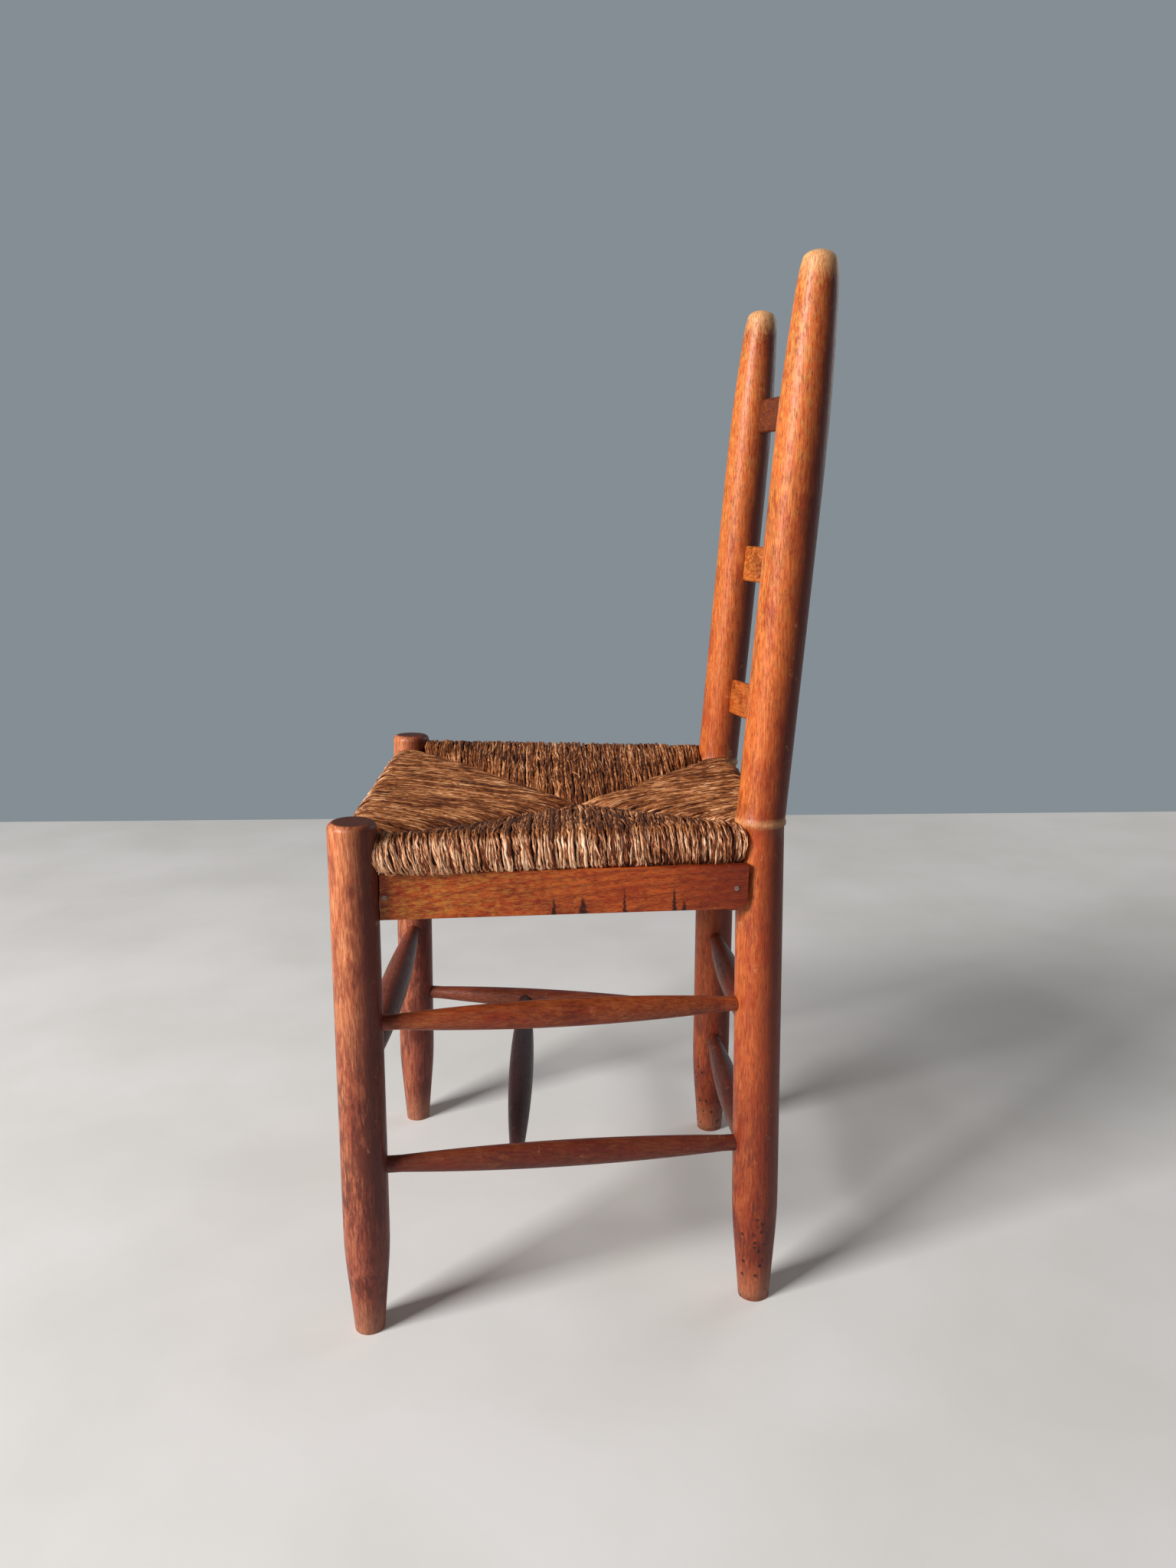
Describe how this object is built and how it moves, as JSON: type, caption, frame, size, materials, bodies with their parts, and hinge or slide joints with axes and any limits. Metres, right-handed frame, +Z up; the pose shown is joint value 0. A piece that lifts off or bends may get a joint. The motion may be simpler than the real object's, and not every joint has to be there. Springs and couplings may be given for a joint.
{
  "type": "ladderback dining chair",
  "caption": "Ladderback side chair with turned legs and posts, bowed slats, cigar-shaped rungs, thin apron boards and a woven rush seat.",
  "frame": {"origin": "on the floor, at the middle of the chair's footprint", "axes": "+Z up, +X to the sitter's left, the front of the seat faces -Y"},
  "size_m": [0.462, 0.4281, 0.92],
  "materials": {
    "turned_wood": "old oiled and worn",
    "slat_wood": "old oiled and worn",
    "rail_wood": "bare, riven",
    "apron_wood": "sawn and oiled",
    "nail_steel": "dull",
    "rush": "twisted rush, woven"
  },
  "bodies": {
    "root": {"front_leg_left": "turned_wood", "front_leg_right": "turned_wood", "back_post_left": "turned_wood", "back_post_right": "turned_wood", "slat_top": "slat_wood", "slat_middle": "slat_wood", "slat_bottom": "slat_wood", "side_rung_upper_left": "turned_wood", "side_rung_upper_right": "turned_wood", "side_rung_lower_left": "turned_wood", "side_rung_lower_right": "turned_wood", "cross_stretcher": "turned_wood", "front_rung": "turned_wood", "back_rung_upper": "turned_wood", "back_rung_lower": "turned_wood", "seat_rail_front": "rail_wood", "seat_rail_back": "rail_wood", "seat_rail_left": "rail_wood", "seat_rail_right": "rail_wood", "apron_front": "apron_wood", "apron_back": "apron_wood", "apron_left": "apron_wood", "apron_right": "apron_wood", "apron_nails": "nail_steel", "rush_seat": "rush"}
  },
  "joints": []
}
